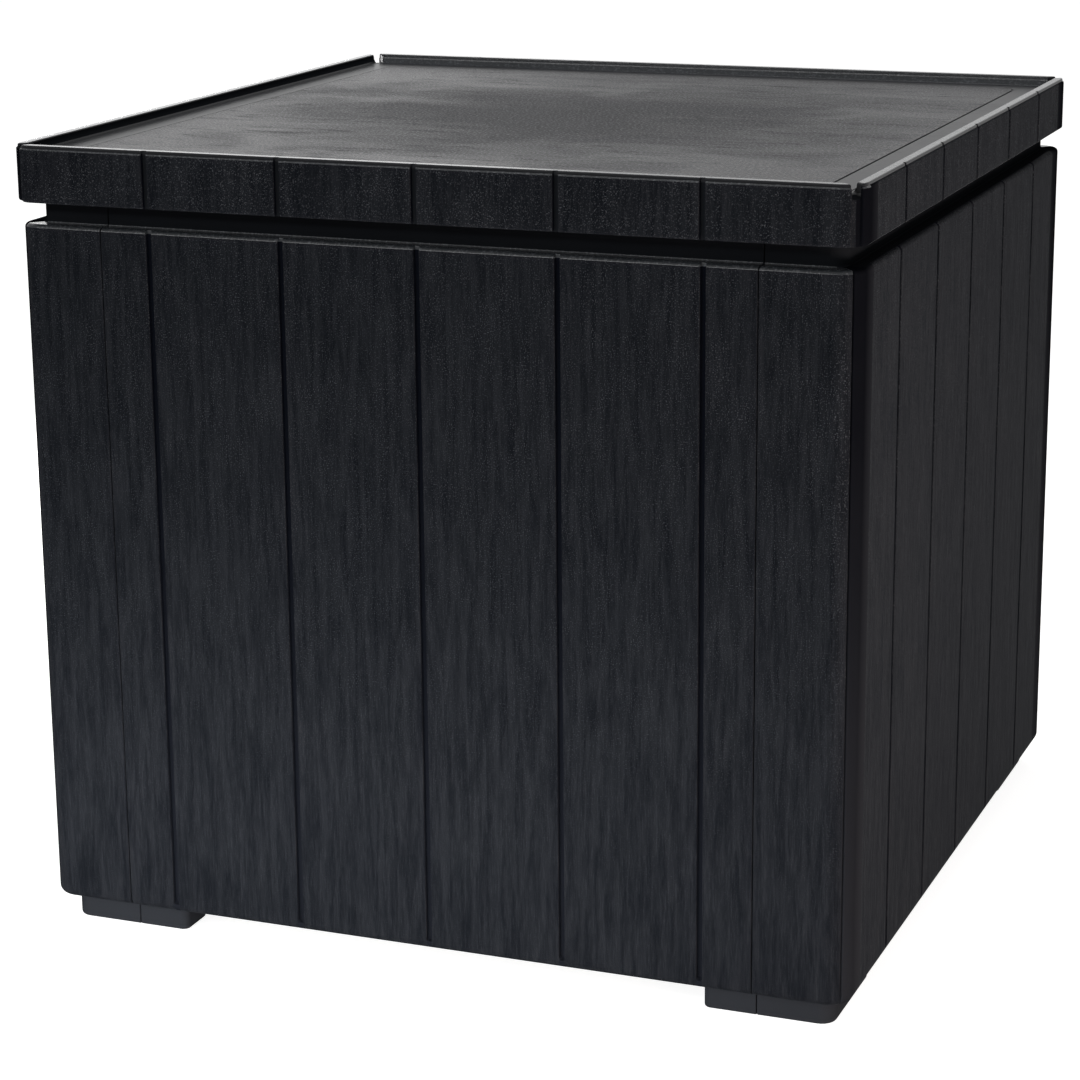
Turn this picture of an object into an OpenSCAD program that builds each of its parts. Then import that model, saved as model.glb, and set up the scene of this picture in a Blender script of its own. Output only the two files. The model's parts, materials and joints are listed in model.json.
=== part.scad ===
// Storage side table: a square resin box with planked walls and a lid that lifts off and serves as a tray.
// Four wall panels hook together at upright seams and a floor panel snaps in. The lid sits over the neck:
// a frame with a tray panel welded in from below.
// Millimetres, Z up, origin on the ground under the middle of the box, front towards -Y.

/* [Overall size] */
// Width of the box over its planks, left to right
box_w = 440; // [380:1:560]
// Depth of the box over its planks, front to back
box_d = 440; // [380:1:560]
// Height of the planked walls, from their bottom edge up to the ledge
wall_h = 363; // [250:1:500]
// Height of the feet below the walls
foot_h = 13.5; // [8:0.5:30]

/* [Planks] */
// Thickness of the moulding behind the grooves
wall_t = 2.8; // [2:0.1:4]
// How far a plank stands out from the bottom of a groove
plank_rise = 1.8; // [1:0.1:3]
// Number of planks on each side of the box
plank_n = 6; // [3:1:8]
// How much wider an end plank is than the others
end_extra = 2.5; // [0:0.5:10]
// Width of a groove between the plank faces
groove_w = 3.6; // [2.4:0.1:6]
// Width of a groove at its bottom
groove_floor_w = 1.8; // [1:0.1:2.2]
// Height of the band under the grooves where the planks run together
groove_stop = 6; // [4:0.5:30]
// Radius of the upright corners
corner_r = 12; // [9:0.5:20]
// Rounding along the top edge of the planks
plank_top_r = 4; // [3:0.5:6]
// Rounding along the bottom edge of the walls
wall_bottom_r = 3; // [2:0.5:4]
// Width of the fine line down the middle of each upright corner
corner_line_w = 1; // [0.5:0.1:2]

/* [Neck and mouth] */
// Width of the ledge from the plank faces to the neck
neck_inset = 9; // [8:0.5:20]
// Radius of the upright corners of the neck
neck_r = 8; // [6:0.5:12]
// Width of the flange that stiffens the mouth of the box
mouth_flange = 12; // [6:1:25]
// Radius of the corners of the mouth
mouth_r = 10; // [4:1:30]

/* [Panel joints] */
// How far each side panel wraps round onto the front and back
wrap = 48; // [40:1:65]
// Hairline gap between two panels at a seam
seam_gap = 0.3; // [0.1:0.1:1]
// Depth of the flanges that meet behind a seam
flange_depth = 20; // [16:1:30]
// Number of hooks on each seam
hook_n = 3; // [2:1:5]
// Width of a hook
hook_w = 10; // [6:0.5:12]
// Height of a hook's head
hook_h = 18; // [14:1:30]
// How far the front or back panel drops to lock its hooks
hook_drop = 6; // [4:1:10]
// Play of a hook in its slot
hook_play = 0.4; // [0.2:0.1:1]

/* [Floor and feet] */
// Inset of the feet behind the plank faces
foot_inset = 9; // [8:0.5:20]
// Reach of a foot along each side, from the corner of the box
foot_reach = 76; // [70:1:110]
// Width of a foot's hollow box section
foot_w = 24; // [16:1:35]
// Radius of the ends of a foot
foot_end_r = 4; // [2:0.5:6]
// Height of the floor panel's seat above the bottom edge of the walls
floor_rise = 9.5; // [8:0.5:30]
// Width of the seat that carries the floor panel
seat_w = 16; // [10:1:25]
// Thickness of the floor panel
floor_t = 3; // [2:0.1:5]
// Height of the rim round the floor panel
floor_rim_h = 10; // [6:1:20]
// Number of ribs under the floor panel each way
floor_rib_n = 6; // [2:1:10]
// Gap between the floor panel and the walls, and between its rim and the snaps
floor_gap = 0.5; // [0.2:0.1:1.5]
// How far a snap reaches over the floor panel's rim
snap_reach = 1.5; // [1:0.1:2]
// Width of a snap
snap_w = 14; // [8:1:30]
// Height of a snap
snap_h = 6; // [4:1:12]

/* [Lid] */
// How far the lid's planks stand out beyond the planks of the walls
lid_over = 1.8; // [0:0.1:4]
// Height of the shadow gap between the ledge and the lid
lid_gap = 11; // [6:0.5:20]
// Height of the lid, from the bottom of its skirt to the top of its rim
lid_h = 29; // [26:0.5:60]
// Thickness of the lid's skirt and tray
lid_t = 2.8; // [2:0.1:4]
// Depth of the tray below the top of the rim
tray_depth = 5; // [4.5:0.5:8]
// Drop from the top of the rim to the top of the lid's planks
rim_step = 1.5; // [1:0.5:3]
// How far the rim stands back from the faces of the lid's planks
rim_set = 0.8; // [0.4:0.1:1.4]
// Width of the rim
rim_w = 5.2; // [4:0.1:6]
// Rounding along both edges of the rim's top
rim_r = 0.8; // [0.4:0.1:1.2]
// Radius of the cove between the rim and the tray
cove_r = 4; // [1:0.5:4]
// Rounding along the top edge of the lid's planks
lid_plank_r = 0.8; // [0.4:0.1:1.5]
// Rounding along the bottom edge of the skirt
skirt_bottom_r = 1.5; // [1:0.1:3]
// Inset of the raised middle of the tray from the plank faces
field_inset = 23; // [18:1:60]
// Height of the raised middle above the tray's border
field_rise = 0.4; // [0.2:0.1:1]
// Width of the drain notch at each corner of the rim
notch_w = 5; // [3:0.5:8]
// Depth of the ribs under the tray
lid_rib_h = 12; // [8:0.5:14]
// Number of ribs under the tray each way
lid_rib_n = 5; // [2:1:8]
// Thickness of the ribs and gussets
rib_t = 1.8; // [1.2:0.1:3]
// Clearance between the neck and the gussets inside the skirt
neck_clear = 1; // [0.5:0.1:2]
// Clearance under the ribs where the lid rests on the mouth
lid_seat_gap = 0.2; // [0.1:0.1:0.5]
// Hairline gap round the tray panel in the lid's frame
tray_gap = 0.3; // [0.1:0.1:0.5]

/* [Hidden] */
$fn = 64;
// Overshoot of every cut beyond the face that it opens
cut = 1;
// Smallest corner radius of the opening for the tray panel
least_r = 1;
moulding = "#43484e";
inner_moulding = "#3b4045";

wall_z = foot_h;
ledge_z = wall_z + wall_h;
skirt_z = ledge_z + lid_gap;
rim_z = skirt_z + lid_h;
tray_z = rim_z - tray_depth;
lid_plank_z = rim_z - rim_step;
lid_rib_z = tray_z - lid_t - lid_rib_h;
mouth_z = lid_rib_z - lid_seat_gap;
lap_z = tray_z - lid_t / 2;
rim_out = corner_r - rim_set;
rim_in = rim_out - rim_w;
cove = min(cove_r, rim_in - least_r, tray_depth - rim_r);
tray_r = rim_in - cove;
tray_inset = corner_r - lid_over - tray_r;

inner = plank_rise + wall_t;
neck_inner = neck_inset + wall_t;
mouth_inner = neck_inner + mouth_flange;
seam_x = box_w / 2 - wrap;
front_half = seam_x - seam_gap / 2;
side_start = seam_x + seam_gap / 2;

floor_z = wall_z + floor_rise;
floor_inset = inner + floor_gap;
floor_rim_z = floor_z + floor_t + floor_rim_h;
snap_z = floor_rim_z + floor_gap;
floor_rib_h = floor_rise - wall_t - floor_gap;
flange_z = floor_rim_z + snap_h;
flange_top_z = ledge_z - wall_t / 2;
flange_t = wall_t;
hook_y = inner + flange_depth / 2 - box_d / 2;

// Middle of groove k on a side that is span wide
function groove_at(span, k) = (k - (plank_n - 2) / 2) * (span - 2 * end_extra) / plank_n;
// Height of the middle of hook k
function hook_at(k) = flange_z + (k + 0.5) * (flange_top_z - flange_z) / hook_n;
// Middle of rib k of n over a span
function rib_at(span, k, n) = ((k + 0.5) / n - 0.5) * span;

// Rectangle from low to high with rounded corners
module rounded_rect(low, high, r) {
    translate([low.x + r, low.y]) square([high.x - low.x - 2 * r, high.y - low.y]);
    translate([low.x, low.y + r]) square([high.x - low.x, high.y - low.y - 2 * r]);
    for (x = [low.x + r, high.x - r], y = [low.y + r, high.y - r])
        translate([x, y]) circle(r);
}

// The box's outline seen from above, drawn in by inset from the plank faces
module plan(inset, r) {
    half = [box_w / 2 - inset, box_d / 2 - inset];
    rounded_rect(-half, half, r);
}

// Ribs crossing each other in plan, n each way, spread over the area spread and as long as length
module rib_grid(n, spread, length) {
    for (k = [0 : n - 1]) {
        translate([rib_at(spread.x, k, n), 0]) square([rib_t, length.y], center = true);
        translate([0, rib_at(spread.y, k, n)]) square([length.x, rib_t], center = true);
    }
}

// A band between two outlines from low to high, kept only inside the children's region
module ring(low, high, outer, outer_r, inside, inside_r) {
    translate([0, 0, low])
        linear_extrude(high - low)
            intersection() {
                difference() {
                    plan(outer, outer_r);
                    plan(inside, inside_r);
                }
                children();
            }
}

// Upright section from the corner's axis out to a face at width, its outer edges rounded
module edge_profile(width, low, high, bottom_r, top_r) {
    translate([0, low + bottom_r]) square([width, high - low - bottom_r - top_r]);
    translate([0, low]) square([width - bottom_r, bottom_r]);
    translate([0, high - top_r]) square([width - top_r, top_r]);
    translate([width - bottom_r, low + bottom_r]) circle(bottom_r);
    translate([width - top_r, high - top_r]) circle(top_r);
}

// Section of the planked wall
module wall_section() {
    intersection() {
        edge_profile(corner_r, wall_z, ledge_z, wall_bottom_r, plank_top_r);
        translate([corner_r - inner, wall_z]) square([inner, wall_h]);
    }
}

// A straight run of a section along Y, standing out towards +X, its axis at X = axis_x
module run(axis_x, length) {
    translate([axis_x, 0, 0]) rotate([90, 0, 0]) linear_extrude(length, center = true) children();
}

// A groove between two planks on a face at X = 0, from low to high, with a round lower end
module groove(low, high) {
    face = groove_w / 2;
    bottom = groove_floor_w / 2;
    translate([0, 0, low])
        linear_extrude(high - low)
            polygon([
                [-plank_rise, -bottom], [0, -face], [cut, -face],
                [cut, face], [0, face], [-plank_rise, bottom],
            ]);
    translate([-plank_rise, 0, low])
        rotate([0, 90, 0]) {
            cylinder(h = plank_rise, r1 = bottom, r2 = face);
            translate([0, 0, plank_rise]) cylinder(h = cut, r = face);
        }
}

// The grooves of one side, on faces at X = face_x, on a side that is span wide
module grooves(face_x, span, low, high) {
    for (k = [0 : plank_n - 2])
        translate([face_x, groove_at(span, k), 0]) groove(low, high);
}

// The fine line down an upright corner whose axis is the origin
module corner_line() {
    half = corner_line_w / 2;
    translate([corner_r, 0, wall_z])
        linear_extrude(wall_h + cut)
            polygon([[-corner_line_w, 0], [0, -half], [cut, -half], [cut, half], [0, half]]);
}

// The grooves of all four walls
module wall_grooves() {
    low = wall_z + groove_stop;
    high = ledge_z + cut;
    for (turn = [0, 180]) rotate(turn) {
        grooves(box_w / 2, box_d, low, high);
        rotate(90) grooves(box_d / 2, box_w, low, high);
    }
}

// Outline of the four feet, drawn in by margin
module feet_plan(margin) {
    low = [foot_inset + margin, foot_inset + margin];
    reach = foot_reach - margin;
    width = foot_inset + foot_w - margin;
    intersection() {
        plan(foot_inset + margin, neck_r - margin);
        for (x = [0, 1], y = [0, 1])
            mirror([x, 0]) mirror([0, y])
                translate([-box_w / 2, -box_d / 2]) {
                    rounded_rect(low, [reach, width], foot_end_r - margin / 2);
                    rounded_rect(low, [width, reach], foot_end_r - margin / 2);
                    square([width - foot_end_r, width - foot_end_r]);
                }
    }
}

// The parts that every wall has: ledge, neck, mouth flange, floor seat and bottom edge
module wall_rings() {
    neck_inner_r = neck_r - wall_t;
    ring(ledge_z - wall_t, ledge_z, plank_top_r, corner_r - plank_top_r, neck_inner, neck_inner_r) children();
    ring(ledge_z - wall_t, mouth_z, neck_inset, neck_r, neck_inner, neck_inner_r) children();
    ring(mouth_z - wall_t, mouth_z, neck_inset, neck_r, mouth_inner, mouth_r) children();
    ring(floor_z - wall_t, floor_z, plank_rise + wall_t / 2, corner_r - plank_rise - wall_t / 2,
         inner + seat_w, mouth_r) children();
    ring(wall_z, wall_z + wall_t, wall_bottom_r, corner_r - wall_bottom_r,
         foot_inset + wall_t, neck_inner_r) children();
}

// The part of the feet that lies in the region child 0, hollowed inside the region child 1
module feet() {
    difference() {
        linear_extrude(wall_z + wall_t)
            intersection() {
                feet_plan(0);
                children(0);
            }
        translate([0, 0, wall_t])
            linear_extrude(wall_z + wall_t)
                intersection() {
                    feet_plan(wall_t);
                    children(1);
                }
    }
}

// Snaps that hold the floor panel down, on an inner face at X = face_x, on a side that is span wide
module snaps(face_x, span) {
    root = wall_t / 2;
    tip = -floor_gap - snap_reach;
    for (side = [-1, 1])
        translate([face_x, side * span / 4, snap_z])
            rotate([90, 0, 0])
                linear_extrude(snap_w, center = true)
                    polygon([[root, 0], [tip, 0], [0, snap_h], [root, snap_h]]);
}

// Region of the front panel seen from above, drawn in by margin from its seams
module front_region(margin) {
    half = front_half - margin;
    translate([-half, -box_d / 2]) square([2 * half, box_d / 2]);
}

// Region of the right side panel seen from above, drawn in by margin from its seams
module side_region(margin) {
    translate([side_start + margin, -box_d / 2]) square([wrap, box_d]);
}

// Flange behind a seam on the front wall, from X = start
module seam_flange(start) {
    translate([start, -box_d / 2 + plank_rise + wall_t / 2, flange_z])
        cube([flange_t, wall_t / 2 + flange_depth, flange_top_z - flange_z]);
}

// Hooks of the front panel's right edge, dropped into their slots
module hooks() {
    web_h = hook_h - hook_drop;
    head_x = side_start + flange_t + hook_play;
    for (k = [0 : hook_n - 1])
        translate([0, hook_y - hook_w / 2, hook_at(k) - hook_h / 2]) {
            translate([front_half - flange_t / 2, 0, 0])
                cube([head_x + flange_t / 2 - front_half + flange_t / 2, hook_w, web_h]);
            translate([head_x, 0, -hook_drop]) cube([flange_t, hook_w, hook_h]);
        }
}

// Slots for the hooks in the side panel's front flange
module hook_slots() {
    for (k = [0 : hook_n - 1])
        translate([side_start - cut, hook_y - hook_w / 2 - hook_play, hook_at(k) - hook_h / 2])
            cube([flange_t + 2 * cut, hook_w + 2 * hook_play, hook_h + hook_play]);
}

// One wall panel between the two side panels
module plain_panel() {
    difference() {
        union() {
            rotate(-90) run(box_d / 2 - corner_r, 2 * front_half) wall_section();
            wall_rings() front_region(0);
            feet() {
                front_region(0);
                front_region(wall_t);
            }
            rotate(-90) snaps(box_d / 2 - inner, 2 * front_half);
            for (side = [0, 1])
                mirror([side, 0, 0]) {
                    seam_flange(front_half - flange_t);
                    hooks();
                }
        }
        wall_grooves();
    }
}

// One side panel with its two wrapped corners
module wrapped_panel() {
    axis = [box_w / 2 - corner_r, box_d / 2 - corner_r];
    return_l = axis.x - side_start;
    difference() {
        union() {
            run(axis.x, 2 * axis.y) wall_section();
            for (side = [0, 1])
                mirror([0, side, 0]) {
                    translate([axis.x, -axis.y, 0]) rotate(-90) rotate_extrude(angle = 90) wall_section();
                    translate([side_start + return_l / 2, 0, 0])
                        rotate(-90) run(axis.y, return_l) wall_section();
                    difference() {
                        seam_flange(side_start);
                        hook_slots();
                    }
                }
            wall_rings() side_region(0);
            feet() {
                side_region(0);
                side_region(wall_t);
            }
            snaps(box_w / 2 - inner, box_d);
        }
        wall_grooves();
        for (side = [-1, 1])
            translate([axis.x, side * axis.y, 0]) rotate(side * 45) corner_line();
    }
}

module front_panel() {
    color(moulding) plain_panel();
}

module back_panel() {
    color(moulding) rotate(180) plain_panel();
}

module right_side_panel() {
    color(moulding) wrapped_panel();
}

module left_side_panel() {
    color(moulding) rotate(180) wrapped_panel();
}

module floor_panel() {
    r = corner_r - floor_inset;
    rib_inset = inner + seat_w + floor_gap;
    rib_span = [box_w - 2 * rib_inset, box_d - 2 * rib_inset];
    color(inner_moulding) {
        translate([0, 0, floor_z]) linear_extrude(floor_t) plan(floor_inset, r);
        ring(floor_z, floor_rim_z, floor_inset, r, floor_inset + rib_t, r - rib_t) plan(0, corner_r);
        translate([0, 0, floor_z - floor_rib_h])
            linear_extrude(floor_rib_h + floor_t / 2)
                rib_grid(floor_rib_n, rib_span, rib_span);
    }
}

// Section of the lid's frame: planked skirt, rim, and the cove that laps over the tray panel's flange
module skirt_section() {
    inner_r = corner_r - plank_rise - lid_t;
    intersection() {
        edge_profile(corner_r, skirt_z, lid_plank_z, skirt_bottom_r, lid_plank_r);
        translate([inner_r, skirt_z]) square([corner_r, lid_h]);
    }
    translate([rim_in, tray_z - lid_t]) square([rim_w, tray_depth + lid_t - rim_r]);
    translate([rim_in + rim_r, rim_z - lid_t]) square([rim_w - 2 * rim_r, lid_t]);
    for (x = [rim_in + rim_r, rim_out - rim_r])
        translate([x, rim_z - rim_r]) circle(rim_r);
    difference() {
        translate([tray_r, lap_z]) square([cove + rim_w / 2, tray_z + cove - lap_z]);
        translate([tray_r, tray_z + cove]) circle(cove);
    }
}

// The drain notch through the rim and the channel below it, at the corner whose axis is the origin
module drain() {
    rotate(45) {
        translate([0, -notch_w / 2, tray_z]) cube([2 * corner_r, notch_w, lid_h]);
        intersection() {
            translate([0, -notch_w / 2, skirt_z - cut]) cube([2 * corner_r, notch_w, lid_h]);
            difference() {
                translate([0, 0, skirt_z - cut]) cylinder(h = lid_h, r = corner_r + cut);
                translate([0, 0, skirt_z - 2 * cut]) cylinder(h = lid_h + 2 * cut, r = corner_r - plank_rise);
            }
        }
    }
}

// Gussets inside the skirt along one side, which keep the lid centred on the neck
module gussets(face_x, span) {
    reach = neck_inset - neck_clear + lid_over - plank_rise;
    low = skirt_z + 2 * skirt_bottom_r;
    for (k = [0 : lid_rib_n - 1])
        translate([face_x - reach, rib_at(span, k, lid_rib_n) - rib_t / 2, low])
            cube([reach - lid_t / 2, rib_t, tray_z - lid_t - low]);
}

module lid_frame() {
    axis = [box_w / 2 + lid_over - corner_r, box_d / 2 + lid_over - corner_r];
    base = plank_rise - lid_over;
    color(moulding) difference() {
        union() {
            for (turn = [0, 180]) rotate(turn) {
                run(axis.x, 2 * axis.y) skirt_section();
                rotate(90) run(axis.y, 2 * axis.x) skirt_section();
                gussets(box_w / 2 - base, box_d);
                rotate(90) gussets(box_d / 2 - base, box_w);
            }
            for (x = [0, 1], y = [0, 1])
                mirror([x, 0, 0]) mirror([0, y, 0])
                    translate(axis) rotate_extrude(angle = 90) skirt_section();
        }
        for (turn = [0, 180]) rotate(turn) {
            grooves(box_w / 2 + lid_over, box_d, skirt_z - cut, rim_z + cut);
            rotate(90) grooves(box_d / 2 + lid_over, box_w, skirt_z - cut, rim_z + cut);
        }
        for (x = [0, 1], y = [0, 1])
            mirror([x, 0, 0]) mirror([0, y, 0]) translate(axis) drain();
    }
}

module lid_tray() {
    flange_r = rim_in - tray_gap;
    rib_inset = max(tray_inset, neck_inset - neck_clear) + tray_gap;
    rib_span = [box_w - 2 * rib_inset, box_d - 2 * rib_inset];
    color(moulding) {
        translate([0, 0, tray_z - lid_t]) {
            linear_extrude(lid_t) plan(tray_inset + tray_gap, tray_r - tray_gap);
            linear_extrude(lap_z - tray_z + lid_t) plan(corner_r - lid_over - flange_r, flange_r);
        }
        translate([0, 0, lap_z]) linear_extrude(tray_z - lap_z + field_rise) plan(field_inset, mouth_r);
        translate([0, 0, lid_rib_z])
            linear_extrude(lap_z - lid_rib_z)
                rib_grid(lid_rib_n, [box_w, box_d], rib_span);
    }
}

front_panel();
back_panel();
left_side_panel();
right_side_panel();
floor_panel();
lid_frame();
lid_tray();
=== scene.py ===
"""Looks of the storage side table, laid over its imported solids.

The wall panels and the lid are modelled again with their moulded detail and stand for the nodes that they
replace. The floor panel keeps its solid and gets a finish. Sizes are in millimetres until a mesh is done.
"""

import json
import logging
import math
from collections.abc import Callable, Iterable, Sequence
from dataclasses import dataclass
from enum import Enum
from itertools import pairwise, product

import bmesh
import bpy
from bmesh.types import BMEdge, BMesh, BMFace, BMVert
from bpy.types import Material, NodeSocket
from mathutils import Matrix, Vector

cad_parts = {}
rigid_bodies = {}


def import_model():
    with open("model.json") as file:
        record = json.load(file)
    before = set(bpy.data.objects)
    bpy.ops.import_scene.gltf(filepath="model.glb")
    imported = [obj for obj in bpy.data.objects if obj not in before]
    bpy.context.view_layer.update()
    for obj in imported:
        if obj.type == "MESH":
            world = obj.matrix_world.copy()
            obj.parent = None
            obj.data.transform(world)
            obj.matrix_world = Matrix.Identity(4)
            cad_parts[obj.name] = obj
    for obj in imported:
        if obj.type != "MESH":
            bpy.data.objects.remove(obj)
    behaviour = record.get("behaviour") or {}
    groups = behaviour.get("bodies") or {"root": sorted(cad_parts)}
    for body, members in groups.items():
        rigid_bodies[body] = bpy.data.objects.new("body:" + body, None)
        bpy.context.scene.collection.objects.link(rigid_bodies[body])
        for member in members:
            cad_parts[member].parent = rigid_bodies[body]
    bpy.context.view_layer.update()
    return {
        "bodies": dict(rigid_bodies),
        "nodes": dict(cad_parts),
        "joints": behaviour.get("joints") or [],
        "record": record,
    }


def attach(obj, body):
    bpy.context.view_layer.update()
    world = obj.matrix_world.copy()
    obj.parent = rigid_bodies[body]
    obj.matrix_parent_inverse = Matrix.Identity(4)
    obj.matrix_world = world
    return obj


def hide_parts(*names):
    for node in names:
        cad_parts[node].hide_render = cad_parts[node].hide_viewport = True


LOG = logging.getLogger("side_table")
# One metre in millimetres
METRE = 1000.0
# Angle between two faces from which their edge shows as sharp
SHARP = math.radians(34)
# Points closer than this are one point
MERGE = 0.004
# How close to a cutting plane a point counts as on it
ON_PLANE = 1e-4
# Width of the flat part of the smooth strip beside each corner line
STRIP = 13.0
# Distances from the middle of the box, in metres, between which that strip's painted shade deepens towards
# its corner
STRIP_SHADE_FADE = (0.1955, 0.2075)
# Scale, per metre, of the worn patch, which ends 278 mm from the tray's middle along X and 238 mm along Y
WORN_SCALE = (3.6, 4.2, 0.0)
Point = tuple[float, float]


class Finish(Enum):
    """Surface finishes, in the order of a piece's material slots."""

    GRAINED = 0
    PLAIN = 1
    RIM = 2
    STIPPLED = 3
    EDGE = 4
    CORNER = 5
    GROOVE = 6


class Side(Enum):
    """Sides of the box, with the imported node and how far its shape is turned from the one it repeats."""

    FRONT = ("front_panel", 0)
    BACK = ("back_panel", 180)
    RIGHT = ("right_side_panel", 0)
    LEFT = ("left_side_panel", 180)

    @property
    def node(self) -> str:
        """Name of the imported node."""
        return self.value[0]

    @property
    def turn(self) -> Matrix:
        """Turn about the upright axis that brings the shape to its side."""
        return Matrix.Rotation(math.radians(self.value[1]), 4, "Z")


def linear(code: str) -> tuple[float, float, float, float]:
    """Turn an sRGB colour into the linear one that a shader takes.

    Args:
        code: The colour as six hexadecimal digits after a hash.

    Returns:
        Red, green, blue and an alpha of one.
    """
    parts = [int(code[i:i + 2], 16) / 255 for i in (1, 3, 5)]
    red, green, blue = ((c / 12.92 if c <= 0.04045 else ((c + 0.055) / 1.055) ** 2.4) for c in parts)
    return red, green, blue, 1.0


@dataclass
class Nodes:
    """The nodes of a material or of the world, added one by one."""

    owner: Material | bpy.types.World

    def __post_init__(self) -> None:
        """Start with no nodes."""
        self.owner.use_nodes = True
        self.owner.node_tree.nodes.clear()

    def add(self, kind: str, inputs: dict | Sequence = (), out: int | str = 0,
            **settings: object) -> NodeSocket | None:
        """Add one node with its settings and links.

        Args:
            kind: Blender's name of the node type, without its ShaderNode prefix.
            inputs: Values or other nodes' outputs, in the order of the inputs or by their names or numbers.
                A MapRange's are its value, the two ends it comes from and the two ends it goes to.
            out: Name or number of the output that is wanted.
            **settings: Properties of the node.

        Returns:
            That output, or nothing for a node that has none.
        """
        tree = self.owner.node_tree
        node = tree.nodes.new("ShaderNode" + kind)
        for key, value in settings.items():
            setattr(node, key, value)
        for key, value in (inputs if isinstance(inputs, dict) else dict(enumerate(inputs))).items():
            if isinstance(value, NodeSocket):
                tree.links.new(value, node.inputs[key])
            else:
                node.inputs[key].default_value = value
        return node.outputs[out] if node.outputs else None


@dataclass(frozen=True)
class Pattern:
    """A noise on the piece's own coordinates, with its patches' size in millimetres along X, Y and Z."""

    size: tuple[float, float, float]
    detail: float
    roughness: float
    distortion: float = 0.0

    def lay(self, tree: Nodes) -> NodeSocket:
        """Add the pattern to a material.

        Args:
            tree: The material's nodes.

        Returns:
            The pattern's value, between 0 and 1.
        """
        place = tree.add("TexCoord", out="Object")
        scaled = tree.add("Mapping", {"Vector": place, "Scale": [METRE / s for s in self.size]})
        return tree.add("TexNoise", {"Vector": scaled, "Scale": 1.0, "Detail": self.detail,
                                     "Roughness": self.roughness, "Distortion": self.distortion}, out="Fac")


# Fine upright streaks of the wood grain
STREAK = Pattern((0.55, 1.6, 7.0), 2, 0.55, 0.3)
# Broad upright figure of the wood grain
FIGURE = Pattern((4.0, 4.0, 45.0), 3, 0.6, 0.4)
# Pores of the grain, on which glints are painted: the real ones are finer than a pixel, so they are drawn
# 0.55 mm wide to show
PORE = Pattern((0.55, 0.55, 0.65), 1, 0.5)
# Patches in which more of the pores get painted glints
PATCH = Pattern((9.0, 9.0, 16.0), 2, 0.6)
# Stipple of the tray: the real one is finer than a pixel, so it is drawn 1.4 mm wide to show
DOT = Pattern((1.4, 1.4, 1.4), 2, 0.5)
# Clouds over a whole face, from the flow of the resin and from handling
CLOUD = Pattern((80.0, 45.0, 90.0), 4, 0.6, 0.6)
# Wiped marks along X, which show where the tray mirrors the light
WISP = Pattern((45.0, 9.0, 60.0), 3, 0.6, 1.5)


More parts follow.
